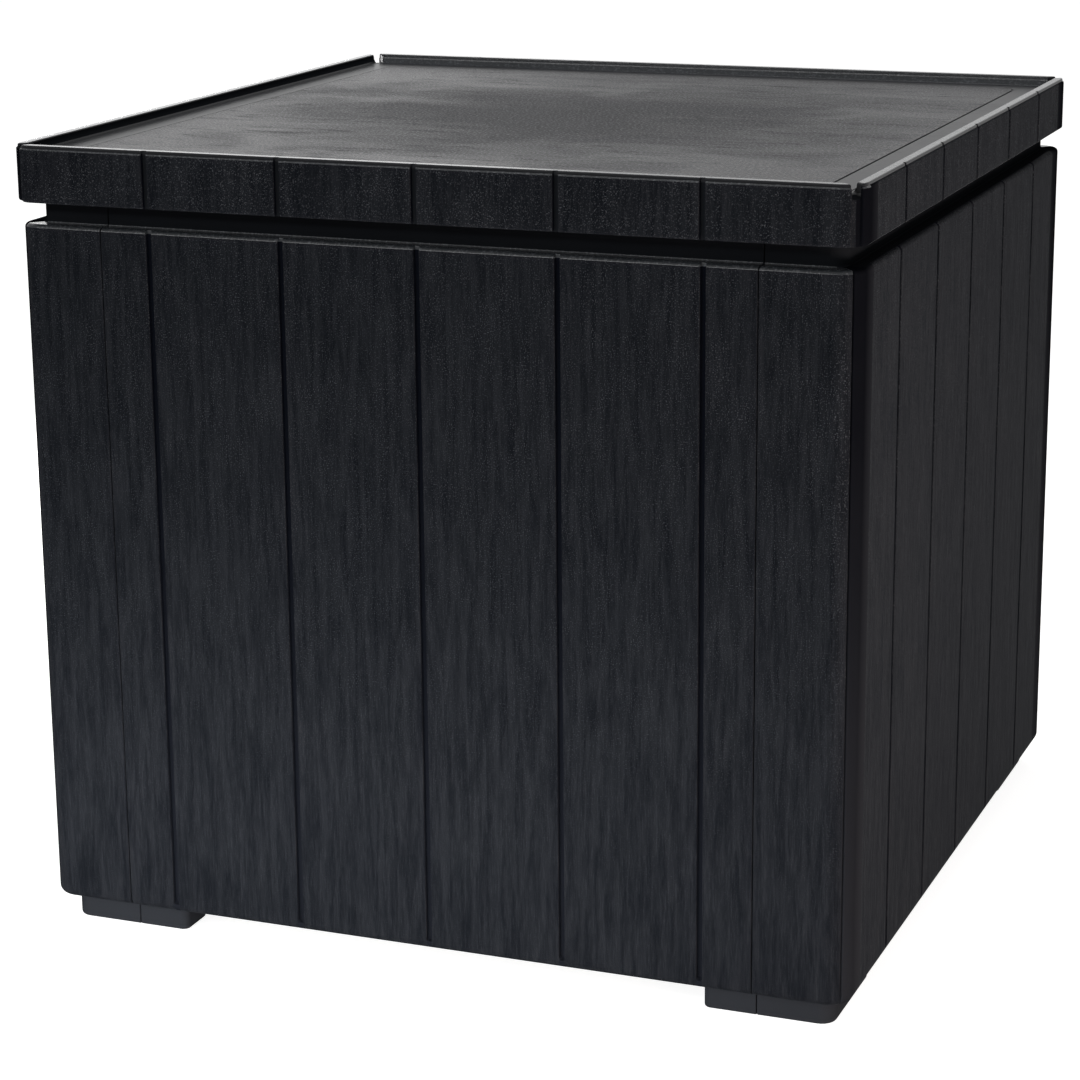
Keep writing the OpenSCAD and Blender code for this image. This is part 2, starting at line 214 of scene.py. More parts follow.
@dataclass(frozen=True)
class Resin:
    """A finish of the moulded polypropylene, whose colour varies from a dark towards a light one.

    grain and stipple are heights of bump in millimetres, and the grain runs upright; cloud is how strongly
    the clouds show and worn how much rougher the worn places are. Three more numbers paint light and shade:
    how strongly the bright dots show, which are painted glints; how much paler low down, as painted floor
    light; and how much paler away from the corners of the box, as painted shade that deepens towards each
    corner.
    """

    name: str
    colour: str
    light: str
    roughness: float
    specular: float
    grain: float = 0.0
    stipple: float = 0.0
    glint_paint: float = 0.0
    cloud: float = 0.1
    worn: float = 0.06
    floor_light_paint: float = 0.0
    corner_shade_paint: float = 0.0
    # Refractive index of polypropylene
    ior: float = 1.5

    def lighten(self, tree: Nodes, share: NodeSocket, colour: object) -> NodeSocket:
        """Mix a share of the light colour into a colour."""
        return tree.add("Mix", {0: share, 6: colour, 7: linear(self.light)}, out=2, data_type="RGBA")

    def tinted(self, tree: Nodes, cloud: NodeSocket) -> NodeSocket:
        """Add the colour under grain and stipple, painted paler low down as painted floor light and paler
        away from the corners as painted corner shade.

        Args:
            tree: The material's nodes.
            cloud: Value of the clouds.

        Returns:
            The colour.
        """
        place = tree.add("TexCoord", out="Object")
        share = tree.add("MapRange", (cloud, 0.35, 0.65, 0, self.cloud))
        colour = self.lighten(tree, share, linear(self.colour))
        # Painted light from the floor: the colour is painted paler towards the foot, up to 0.3 m
        if self.floor_light_paint:
            height = tree.add("SeparateXYZ", [place], out="Z")
            share = tree.add("MapRange", (height, 0, 0.3, self.floor_light_paint, 0))
            colour = self.lighten(tree, share, colour)
        # Painted shade of the corners: paler away from them, so the strips darken towards each corner
        if self.corner_shade_paint:
            depth = tree.add("Math", [tree.add("SeparateXYZ", [place], out="Y")], operation="ABSOLUTE")
            share = tree.add("MapRange", (depth, *STRIP_SHADE_FADE, self.corner_shade_paint, 0))
            colour = self.lighten(tree, share, colour)
        return colour

    def grained(self, tree: Nodes, colour: NodeSocket) -> tuple[NodeSocket, NodeSocket]:
        """Add the upright wood grain, with glints painted on its pores, fewer and fewer towards the foot.

        Args:
            tree: The material's nodes.
            colour: Its colour so far.

        Returns:
            The colour and the height with the grain.
        """
        streak, pore = STREAK.lay(tree), PORE.lay(tree)
        share = tree.add("MapRange", (FIGURE.lay(tree), 0.38, 0.62, 0, 0.04))
        colour = self.lighten(tree, share, colour)
        share = tree.add("MapRange", (streak, 0.48, 0.72, 0, 0.038))
        colour = self.lighten(tree, share, colour)
        # Painted glints: pores in patches take the light colour, fewer and fewer towards the foot
        glint = tree.add("MapRange", (pore, 0.6, 0.69, 0, 1))
        crowd = tree.add("MapRange", (PATCH.lay(tree), 0.36, 0.62, 0.35, 1))
        bright = tree.add("Math", (glint, crowd), operation="MULTIPLY")
        above = tree.add("SeparateXYZ", [tree.add("TexCoord", out="Object")], out="Z")
        glint_paint = tree.add("MapRange", (above, 0.06, 0.34, self.glint_paint * 0.12, self.glint_paint))
        colour = self.lighten(tree, tree.add("Math", (bright, glint_paint), operation="MULTIPLY"), colour)
        pits = tree.add("Math", (pore, 0.8), operation="MULTIPLY")
        relief = tree.add("Math", (streak, pits), operation="ADD")
        return colour, tree.add("Math", (relief, self.grain), operation="MULTIPLY")

    def stippled(self, tree: Nodes, colour: NodeSocket) -> tuple[NodeSocket, NodeSocket]:
        """Add the fine stipple, with glints painted on its dots.

        Args:
            tree: The material's nodes.
            colour: Its colour so far.

        Returns:
            The colour and the height with the stipple.
        """
        dot = DOT.lay(tree)
        # Painted glints on the stipple's dots
        bright = tree.add("MapRange", (dot, 0.5, 0.72, 0, 1))
        share = tree.add("Math", (bright, self.glint_paint), operation="MULTIPLY")
        return self.lighten(tree, share, colour), tree.add("Math", (dot, self.stipple), operation="MULTIPLY")

    def rubbed(self, tree: Nodes, cloud: NodeSocket) -> NodeSocket:
        """Add the roughness, which wear raises in the middle of the table, in wisps and in clouds.

        Args:
            tree: The material's nodes.
            cloud: Value of the clouds.

        Returns:
            The roughness.
        """
        place = tree.add("TexCoord", out="Object")
        middle = tree.add("Mapping", {"Vector": place, "Scale": WORN_SCALE})
        close = tree.add("TexGradient", {"Vector": middle}, out="Fac", gradient_type="SPHERICAL")
        wisp = tree.add("MapRange", (WISP.lay(tree), 0.56, 0.72, 0, 0.45))
        mottle = tree.add("MapRange", (cloud, 0.3, 0.7, -0.3, 0.2))
        marks = tree.add("Math", (wisp, mottle), operation="ADD")
        wear = tree.add("Math", (close, marks), operation="ADD")
        return tree.add("MapRange", (wear, 0.1, 0.75, self.roughness, self.roughness + self.worn))

    def material(self) -> Material:
        """Build the finish as a procedural material.

        Returns:
            The material.
        """
        tree = Nodes(bpy.data.materials.new(self.name))
        cloud = CLOUD.lay(tree)
        dress = self.grained if self.grain else self.stippled
        colour, height = dress(tree, self.tinted(tree, cloud))
        normal = tree.add("Bump", {"Height": height, "Strength": 1.0, "Distance": 1 / METRE})
        surface = tree.add("BsdfPrincipled", {"Base Color": colour, "Roughness": self.rubbed(tree, cloud),
                                              "IOR": self.ior, "Specular IOR Level": self.specular,
                                              "Normal": normal})
        tree.add("OutputMaterial", {"Surface": surface})
        return tree.owner


RESINS: dict[Finish, Resin] = {
    # Polypropylene moulded in a tool etched with wood grain: a dull near-black with pale upright streaks, and
    # glints painted on its pores as fine dots, most of them high up
    Finish.GRAINED: Resin("wood-grained moulded polypropylene with painted glints", "#111317", "#6c6e73", 0.5, 0.003, grain=0.25,
                          glint_paint=0.4, cloud=0.01),
    # Polypropylene from a smooth tool, on neck, feet and inside: a satin grey-black without grain, painted
    # paler low down as painted light from the floor
    Finish.PLAIN: Resin("smooth moulded polypropylene", "#1a1c1f", "#3c3e43", 0.45, 0.0, stipple=0.01,
                        cloud=0.03, floor_light_paint=0.25),
    # Polypropylene from the tool's bare steel beside each corner line, without grain; its near-black is
    # painted shade, deepest towards the corners and also laid on the sides' ledges under the lid, and it is
    # painted paler low down as painted light from the floor
    Finish.CORNER: Resin("bare moulded polypropylene with painted shade", "#0d0e12", "#34363a", 0.45, 0.0, stipple=0.01,
                         cloud=0.03, floor_light_paint=0.35, corner_shade_paint=0.34),
    # Polypropylene from the smooth ribs of the tool, in the grooves: a dull line, painted darker than the
    # planks as painted shade, and painted paler low down as painted light from the floor
    Finish.GROOVE: Resin("ungrained moulded polypropylene with painted shade", "#0e1016", "#34363a", 0.5, 0.0, stipple=0.01,
                         cloud=0.01, floor_light_paint=0.15),
    # Polypropylene from a satin tool, on rim and tray border: smooth, and mirrors a soft light at a low angle
    Finish.RIM: Resin("satin moulded polypropylene", "#1b1c1f", "#2c2e31", 0.36, 0.085, stipple=0.01),
    # Polypropylene moulded with a fine stipple, on the tray's field: its sparkle is painted glints in fine
    # dots, and it is rubbed dull towards the middle and in wisps
    Finish.STIPPLED: Resin("stippled moulded polypropylene with painted glints", "#161619", "#8a8a8e", 0.32, 0.06, stipple=0.6,
                           glint_paint=0.6, cloud=0.05, worn=0.24),
    # Polypropylene polished by the tool and by handling, on the edges: it catches a narrow bright line, and
    # its paler colour and bright dots are painted highlight on the edges chosen side by side
    Finish.EDGE: Resin("polished moulded polypropylene with painted highlight", "#26292c", "#6c6e73", 0.2, 0.2, stipple=0.1,
                       glint_paint=0.4),
}
# Polypropylene from a smooth tool, on the floor panel: an even satin grey-black
FLOOR_RESIN = Resin("smooth moulded polypropylene floor", "#1a1c1e", "#2a2c2f", 0.45, 0.1, stipple=0.02)


@dataclass(frozen=True)
class Furrow:
    """Cross-section of a groove, as its depth at a few distances from its middle."""

    rows: tuple[Point, ...]

    @property
    def reach(self) -> float:
        """Distance from its middle at which the groove ends."""
        return self.rows[-1][0]

    def depth(self, distance: float) -> float:
        """Depth of the groove at a distance from its middle.

        Args:
            distance: Distance from the middle.

        Returns:
            The depth, zero beyond the last row.
        """
        for (near, deep), (far, shallow) in pairwise(self.rows):
            if distance <= far:
                return deep + (shallow - deep) * max(0.0, distance - near) / (far - near)
        return 0.0

    def stations(self, middle: float) -> list[float]:
        """Places across the groove, from lip to lip round its middle, where a mesh needs an edge."""
        return sorted({middle + s * d for d, _ in self.rows for s in (-1, 1)})


@dataclass(frozen=True)
class Bend:
    """A corner of a section: inset from the faces, height, and how far it is rounded."""

    inset: float
    z: float
    round: float = 0.0
    steps: int = 6


def each(items: Iterable) -> list:
    """Keep each item once, in the order in which it first comes."""
    return list(dict.fromkeys(items))


def section(bends: Sequence[Bend]) -> list[Point]:
    """Round the corners of a section.

    Args:
        bends: Its corners in order, the first and last left sharp.

    Returns:
        Inset and height of the points along the section.
    """
    bm = bmesh.new()
    verts = [bm.verts.new((b.inset, b.z, 0)) for b in bends]
    for pair in pairwise(verts):
        bm.edges.new(pair)
    here = verts[0]
    for vert, bend in zip(verts, bends):
        if bend.round:
            bmesh.ops.bevel(bm, geom=[vert], offset=bend.round, segments=bend.steps, profile=0.5,
                            affect="VERTICES", material=-1, clamp_overlap=False)
    points, last = [], None
    while here:
        points.append((here.co.x, here.co.y))
        ahead = [e.other_vert(here) for e in here.link_edges if e.other_vert(here) != last]
        last, here = here, (ahead[0] if ahead else None)
    bm.free()
    return points


def sweep(bm: BMesh, half: float, points: Sequence[Point], radius: Callable[[float], float],
          steps: int) -> list[BMEdge]:
    """Carry a section round a square with rounded corners.

    Args:
        bm: The mesh to add to.
        half: Half the width of the square over its faces.
        points: Inset and height of each ring.
        radius: Gives a ring's corner radius from its inset.
        steps: Faces round each corner.

    Returns:
        The edges of the last ring.
    """
    corner = bm.verts.layers.float_vector.new("corner")
    turn = bm.verts.layers.float_vector.new("turn")
    first = radius(points[0][0])
    reach = half - points[0][0]
    made = bmesh.ops.create_circle(bm, segments=4, radius=reach * math.sqrt(2),
                                   matrix=Matrix.Rotation(math.pi / 4, 4, "Z"))["verts"]
    verts = bmesh.ops.bevel(bm, geom=made, offset=first, segments=steps, profile=0.5, affect="VERTICES",
                            material=-1)["verts"]
    edges = each(e for v in verts for e in v.link_edges)
    for vert in verts:
        vert[corner] = Vector((math.copysign(1, vert.co.x), math.copysign(1, vert.co.y), 0))
        vert[turn] = ((vert.co - vert[corner] * (reach - first)) / first).to_3d()
    rings = [list(verts)]
    for _ in points[1:]:
        grown = bmesh.ops.extrude_edge_only(bm, edges=edges)["geom"]
        edges = [g for g in grown if isinstance(g, BMEdge)]
        rings.append([g for g in grown if isinstance(g, BMVert)])
    for (inset, z), members in zip(points, rings):
        bend = radius(inset)
        for vert in members:
            place = vert[corner] * (half - inset - bend) + vert[turn] * bend
            vert.co = (place.x, place.y, z)
    return edges


def parts_of(faces: Iterable[BMFace]) -> list:
    """Collect faces with their edges and corners, as the cutting operators take them."""
    faces = list(faces)
    return [*faces, *each(e for f in faces for e in f.edges), *each(v for f in faces for v in f.verts)]


def slice_at(bm: BMesh, faces: Iterable[BMFace], point: Sequence[float], normal: Sequence[float]) -> None:
    """Cut edges into some faces of a mesh along the plane with that point and normal."""
    bmesh.ops.bisect_plane(bm, geom=parts_of(faces), dist=ON_PLANE, plane_co=point, plane_no=normal)


def along(axis: int) -> Vector:
    """Direction of the X axis for 0 and of the Y axis for 1."""
    return Vector((1 - axis, axis, 0))


def turned(bm: BMesh, verts: Sequence[BMVert], quarters: int) -> None:
    """Turn some points about the upright axis by quarter turns."""
    bmesh.ops.rotate(bm, cent=(0, 0, 0), matrix=Matrix.Rotation(quarters * math.pi / 2, 3, "Z"), verts=verts)


def block(bm: BMesh, one: Sequence[float], other: Sequence[float], edge: float = 0.4) -> list[BMVert]:
    """Add a block with softened edges.

    Args:
        bm: The mesh to add to.
        one: One of its corners.
        other: The corner opposite.
        edge: Width of the softened edges.

    Returns:
        Its corners.
    """
    size = [abs(b - a) for a, b in zip(one, other)]
    place = Matrix.Translation((Vector(one) + Vector(other)) / 2) @ Matrix.Diagonal((*size, 1))
    made = bmesh.ops.create_cube(bm, size=1, matrix=place)["verts"]
    edges = each(e for v in made for e in v.link_edges)
    return bmesh.ops.bevel(bm, geom=edges, offset=edge, segments=2, profile=0.5, affect="EDGES",
                           material=-1)["verts"]


def finished(bm: BMesh, name: str, finish_of: Callable[[BMFace], Finish],
             materials: dict[Finish, Material]) -> bpy.types.Object:
    """Turn a mesh in millimetres into a finished object.

    Args:
        bm: The mesh, which is freed.
        name: Name of the object.
        finish_of: Gives the finish of a face.
        materials: The material of each finish.

    Returns:
        The object, at the origin, with its place in its mesh.
    """
    bmesh.ops.remove_doubles(bm, verts=bm.verts, dist=MERGE)
    bmesh.ops.dissolve_degenerate(bm, dist=0.003, edges=bm.edges)
    for face in bm.faces:
        face.material_index = finish_of(face).value
        face.smooth = True
    for edge in bm.edges:
        edge.smooth = edge.calc_face_angle(0) < SHARP
    bmesh.ops.scale(bm, vec=[1 / METRE] * 3, verts=bm.verts)
    mesh = bpy.data.meshes.new(name)
    bm.to_mesh(mesh)
    bm.free()
    for finish in Finish:
        mesh.materials.append(materials[finish])
    piece = bpy.data.objects.new(name, mesh)
    bpy.context.collection.objects.link(piece)
    weighted = piece.modifiers.new("weighted normals", "WEIGHTED_NORMAL")
    weighted.keep_sharp = True
    LOG.info("%s: %d faces", name, len(mesh.polygons))
    return piece


@dataclass
class Planked:
    """What walls and lid share: a square with rounded corners, grooves between planks and smooth strips."""

    half: float
    corner: float = 12.0
    inner: float = 4.6
    skin: float = 2.8
    plank: float = 72.5
    furrow: Furrow = Furrow(((0, 2.1), (0.95, 2.1), (1.15, 1.95), (1.4, 0.6), (1.6, 0.18), (1.95, 0)))
    groove_half: float = 1.3
    corner_steps: int = 16

    @property
    def axis(self) -> float:
        """Distance of the corners' axes from the middle, along X and Y."""
        return self.half - self.corner

    @property
    def grooves(self) -> list[float]:
        """Middles of the grooves on each side."""
        return [self.plank * k for k in range(-2, 3)]

    def inset(self, co: Vector) -> float:
        """How far a point is behind the plank faces, also round the corners."""
        x, y = abs(co.x), abs(co.y)
        if x > self.axis and y > self.axis:
            return self.corner - math.hypot(x - self.axis, y - self.axis)
        return self.half - max(x, y)

    def is_strip(self, place: Vector) -> bool:
        """Whether a place is on the smooth strip from a corner line round onto the left or right."""
        x, y = abs(place.x) - self.axis, abs(place.y) - self.axis
        return x > 0 and -STRIP < y < x * 1.03

    def is_groove(self, place: Vector) -> bool:
        """Whether a place is between the lips of a groove."""
        across = place.x if abs(place.y) > abs(place.x) else place.y
        return any(abs(across - middle) < self.groove_half for middle in self.grooves)

    def score(self, bm: BMesh, wanted: Callable[[BMFace], bool]) -> None:
        """Cut edges along the grooves and strips.

        Args:
            bm: The mesh.
            wanted: Picks the faces to cut.
        """
        places = [s for g in self.grooves for s in self.furrow.stations(g)]
        for axis, more in ((0, []), (1, [STRIP - self.axis, self.axis - STRIP])):
            for place in places + more:
                slice_at(bm, [f for f in bm.faces if wanted(f)], along(axis) * place, along(axis))


@dataclass
class Walls(Planked):
    """The planked walls of the box, lofted as one ring and cut into four panels at the seams."""

    half: float = 220.0
    bottom: float = 13.5
    bottom_round: float = 4.5
    ledge: float = 376.5
    plank_round: float = 2.3
    bright_top: float = 1.9
    mouth: float = 396.5
    mouth_inner: float = 23.8
    mouth_corner: float = 10.0
    neck: float = 9.0
    neck_inner: float = 11.8
    neck_corner: float = 8.0
    bead: float = 0.7
    seat: float = 23.0
    seat_inner: float = 20.6
    stop: float = 6.0
    seam: float = 172.0
    seam_gap: float = 0.5
    seam_edge: float = 0.25
    # How far behind the neck's face the seams' edges are softened
    seam_behind: float = 1.2
    foot_reach: float = 76.0
    foot_width: float = 24.0
    foot_end: float = 4.0
    foot_inside: float = 2.0
    foot_edge: float = 1.2
    flange: float = 20.0
    flange_low: float = 42.0
    hooks: int = 3
    hook_near: float = 5.0
    hook_far: float = 15.0
    hook_top: float = 3.0
    # Start, end and foot of a hook's arm and of its tip
    hook_parts: tuple[tuple[float, float, float], ...] = ((0.0, 6.5, -9.0), (3.5, 6.3, -15.0))
    snap: float = 110.0
    snap_half: float = 7.0
    snap_low: float = 36.5
    snap_high: float = 42.5
    snap_out: float = 2.0
    snap_slope: float = 2.5
    corner_line: Furrow = Furrow(((0, 1.0), (0.22, 0.7), (0.5, 0.15), (0.9, 0)))

    def radius(self, inset: float) -> float:
        """Corner radius of the walls at an inset from the plank faces."""
        if inset < self.inner + 0.5:
            return self.corner - inset
        return self.neck_corner if inset < self.neck_inner - 1 else self.mouth_corner

    def ring(self) -> BMesh:
        """Loft the walls, neck, mouth flange and floor seat.

        Returns:
            The mesh, closed all round.
        """
        top_skin, mouth_skin = self.ledge - self.skin, self.mouth - self.skin
        seat_skin, bottom_skin = self.seat - self.skin, self.bottom + self.skin
        bead_in, bead_top = self.neck - self.bead, self.ledge + self.bead
        points = section([
            Bend(self.neck_inner, self.bottom), Bend(0, self.bottom, self.bottom_round),
            Bend(0, self.ledge, self.plank_round), Bend(bead_in, self.ledge),
            Bend(bead_in, bead_top, 0.5, 4), Bend(self.neck, bead_top),
            Bend(self.neck, self.mouth, 1.0, 4), Bend(self.mouth_inner, self.mouth, 0.8, 3),
            Bend(self.mouth_inner, mouth_skin, 0.8, 3), Bend(self.neck_inner, mouth_skin, 1, 3),
            Bend(self.neck_inner, top_skin, 0.8, 2), Bend(self.inner, top_skin, 1, 3),
            Bend(self.inner, self.seat, 1, 3), Bend(self.seat_inner, self.seat, 0.6, 2),
            Bend(self.seat_inner, seat_skin, 0.6, 2), Bend(self.inner, seat_skin, 0.8, 2),
            Bend(self.inner, bottom_skin, 0.8, 2), Bend(self.neck_inner, bottom_skin),
            Bend(self.neck_inner, self.bottom),
        ])
        bm = bmesh.new()
        sweep(bm, self.half, points, self.radius, self.corner_steps)
        bmesh.ops.remove_doubles(bm, verts=bm.verts, dist=MERGE)
        bmesh.ops.recalc_face_normals(bm, faces=bm.faces)
        return bm

    def is_plank(self, face: BMFace) -> bool:
        """Whether a face belongs to the planked outside, with its rounded top and bottom edges."""
        middle = face.calc_center_median()
        return self.inset(middle) < self.plank_round - 0.01 and self.bottom <= middle.z < self.ledge - 0.001

    def carve(self, bm: BMesh) -> None:
        """Press the grooves between the planks and the line down each corner into the walls.

        Args:
            bm: The mesh of the walls.
        """
        low = self.bottom + self.stop
        self.score(bm, self.is_plank)
        for z in (low - d for d, _ in self.furrow.rows):
            slice_at(bm, [f for f in bm.faces if self.is_plank(f)], (0, 0, z), (0, 0, 1))
        for sx, sy in product((-1, 1), repeat=2):
            across = Vector((sx, -sy, 0)).normalized()
            for place in self.corner_line.stations(0):
                faces = [f for f in bm.faces if self.is_plank(f)
                         and sx * f.calc_center_median().x > self.axis + 1
                         and sy * f.calc_center_median().y > self.axis + 1]
                slice_at(bm, faces, Vector((sx, sy, 0)) * self.axis + across * place, across)
        for vert in each(v for f in bm.faces if self.is_plank(f) for v in f.verts):
            self.press(vert, low)

    def press(self, vert: BMVert, low: float) -> None:
        """Move one point of the outside in, as deep as the groove that it lies in.

        Args:
            vert: The point.
            low: Height of the middle of the grooves' round lower ends.
        """
        x, y = abs(vert.co.x), abs(vert.co.y)
        share = max(0.0, 1 - self.inset(vert.co) / self.plank_round)
        if x > self.axis and y > self.axis:
            across = abs(x - y) / math.sqrt(2)
            out = Vector((math.copysign(x - self.axis, vert.co.x),
                          math.copysign(y - self.axis, vert.co.y), 0))
            vert.co -= out.normalized() * self.corner_line.depth(across) * share
            return
        side = 0 if x > y else 1
        place = vert.co[1 - side]
        distance = min(math.hypot(place - g, min(0.0, vert.co.z - low)) for g in self.grooves)
        vert.co[side] -= math.copysign(self.furrow.depth(distance) * share, vert.co[side])

    def feet(self, bm: BMesh) -> None:
        """Add the four feet, each an L with rounded ends.

        Args:
            bm: The mesh to add to.
        """
        far, near = self.half - self.neck, self.half - self.foot_reach
        back = far - self.foot_width
        end = self.foot_end
        outline = [(far, far, self.neck_corner), (far, near, end), (back, near, end),
                   (back, back, self.foot_inside), (near, back, end), (near, far, end)]
        for quarter in range(4):
            foot = bmesh.new()
            verts = [foot.verts.new((x, y, 0)) for x, y, _ in outline]
            for pair in pairwise([*verts, verts[0]]):
                foot.edges.new(pair)
            for vert, (_, _, r) in zip(verts, outline):
                bmesh.ops.bevel(foot, geom=[vert], offset=r, segments=6, profile=0.5, affect="VERTICES",
                                material=-1)
            sole = bmesh.ops.contextual_create(foot, geom=foot.edges)["faces"]
            grown = bmesh.ops.extrude_face_region(foot, geom=sole, use_keep_orig=True)["geom"]
            top = [g for g in grown if isinstance(g, BMVert)]
            bmesh.ops.translate(foot, verts=top, vec=(0, 0, self.bottom + self.skin))
            bmesh.ops.recalc_face_normals(foot, faces=foot.faces)
            edges = [e for e in foot.edges if all(v.co.z < 0.01 for v in e.verts)]
            bmesh.ops.bevel(foot, geom=edges, offset=self.foot_edge, segments=3, profile=0.5, affect="EDGES",
                            material=-1)
            turned(foot, foot.verts, quarter)
            scratch = bpy.data.meshes.new("foot")
            foot.to_mesh(scratch)
            foot.free()
            bm.from_mesh(scratch)
            bpy.data.meshes.remove(scratch)

    def cut_out(self, ring: BMesh, side: Side) -> BMesh:
        """Cut one panel out of the ring and close it at its seams.

        Args:
            ring: The four walls in one.
            side: The side whose panel is wanted; it comes out at the front or on the right.

        Returns:
            The panel.
        """
        bm = ring.copy()
        if side in (Side.FRONT, Side.BACK):
            edge = self.seam - self.seam_gap / 2
            planes = [((edge, 0, 0), (1, 0, 0)), ((-edge, 0, 0), (-1, 0, 0)), ((0, 0, 0), (0, 1, 0))]
        else:
            planes = [((self.seam + self.seam_gap / 2, 0, 0), (-1, 0, 0))]
        for point, normal in planes:
            bmesh.ops.bisect_plane(bm, geom=parts_of(bm.faces), dist=ON_PLANE, plane_co=point,
                                   plane_no=normal, clear_outer=True)
        rims = [e for e in bm.edges if e.is_boundary]
        caps = bmesh.ops.edgeloop_fill(bm, edges=rims)["faces"]
        lips = [e for e in each(e for f in caps for e in f.edges)
                if max(self.inset(v.co) for v in e.verts) < self.neck + self.seam_behind]
        bmesh.ops.bevel(bm, geom=lips, offset=self.seam_edge, segments=1, profile=0.5, affect="EDGES",
                        material=-1)
        return bm

    def fittings(self, bm: BMesh, side: Side) -> None:
        """Add the seam flanges, hooks and snaps inside one panel.

        Args:
            bm: The panel, at the front or on the right.
            side: Its side.
        """
        back = -self.half + self.inner
        high = self.ledge - self.skin / 2
        step = (high - self.flange_low) / self.hooks
        for s in (-1, 1):
            if side in (Side.FRONT, Side.BACK):
                edge = self.seam - self.seam_gap / 2
                block(bm, (s * (edge - self.skin), back - 1, self.flange_low),
                      (s * edge, back + self.flange, high))
                for z in (self.flange_low + (k + 0.5) * step for k in range(self.hooks)):
                    for start, end, foot in self.hook_parts:
                        block(bm, (s * (edge + start), back + self.hook_near, z + foot),
                              (s * (edge + end), back + self.hook_far, z + self.hook_top))
            else:
                edge = self.seam + self.seam_gap / 2
                block(bm, (edge, s * (back - 1), self.flange_low),
                      (edge + self.skin, s * (back + self.flange), high))
        for s in (-1, 1):
            snap = block(bm, (s * self.snap - self.snap_half, back - 0.8, self.snap_low),
                         (s * self.snap + self.snap_half, back + self.snap_out, self.snap_high), 0.2)
            for vert in snap:
                if vert.co.z > self.snap_high - self.snap_slope and vert.co.y > back:
                    vert.co.y = back - 0.2
            if side in (Side.RIGHT, Side.LEFT):
                turned(bm, snap, 1)

    def finish_of(self, face: BMFace) -> Finish:
        """Finish of one face: grained planks with painted highlight on the front and back tops, painted shade
        in the grooves, on the smooth strips and on the side ledges, and a plain neck.
        """
        middle = face.calc_center_median()
        inset, strip = self.inset(middle), self.is_strip(middle)
        across = (abs(middle.y) > abs(middle.x) or abs(middle.y) > self.axis) and not strip
        is_top = -self.bright_top < middle.z - self.ledge < self.bead
        # Painted highlight on the tops of the front and back planks, their ledge and bead
        if across and is_top and inset < self.neck - 0.02:
            return Finish.EDGE
        if not self.is_plank(face):
            # Painted shade on the ledges of the sides, under the lid
            return Finish.CORNER if abs(middle.z - self.ledge) < 0.4 and inset < self.neck else Finish.PLAIN
        # Painted shade in the grooves
        if self.is_groove(middle):
            return Finish.GROOVE
        # Painted shade on the smooth strips
        return Finish.CORNER if strip else Finish.GRAINED

    def build(self, materials: dict[Finish, Material]) -> None:
        """Make the four panels and lay them over their nodes.

        Args:
            materials: The material of each finish.
        """
        ring = self.ring()
        self.carve(ring)
        self.feet(ring)
        for side in Side:
            bm = self.cut_out(ring, side)
            self.fittings(bm, side)
            bmesh.ops.transform(bm, matrix=side.turn, verts=bm.verts)
            piece = finished(bm, side.node.replace("panel", "wall"), self.finish_of, materials)
            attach(piece, "box")
            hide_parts(side.node)
        ring.free()


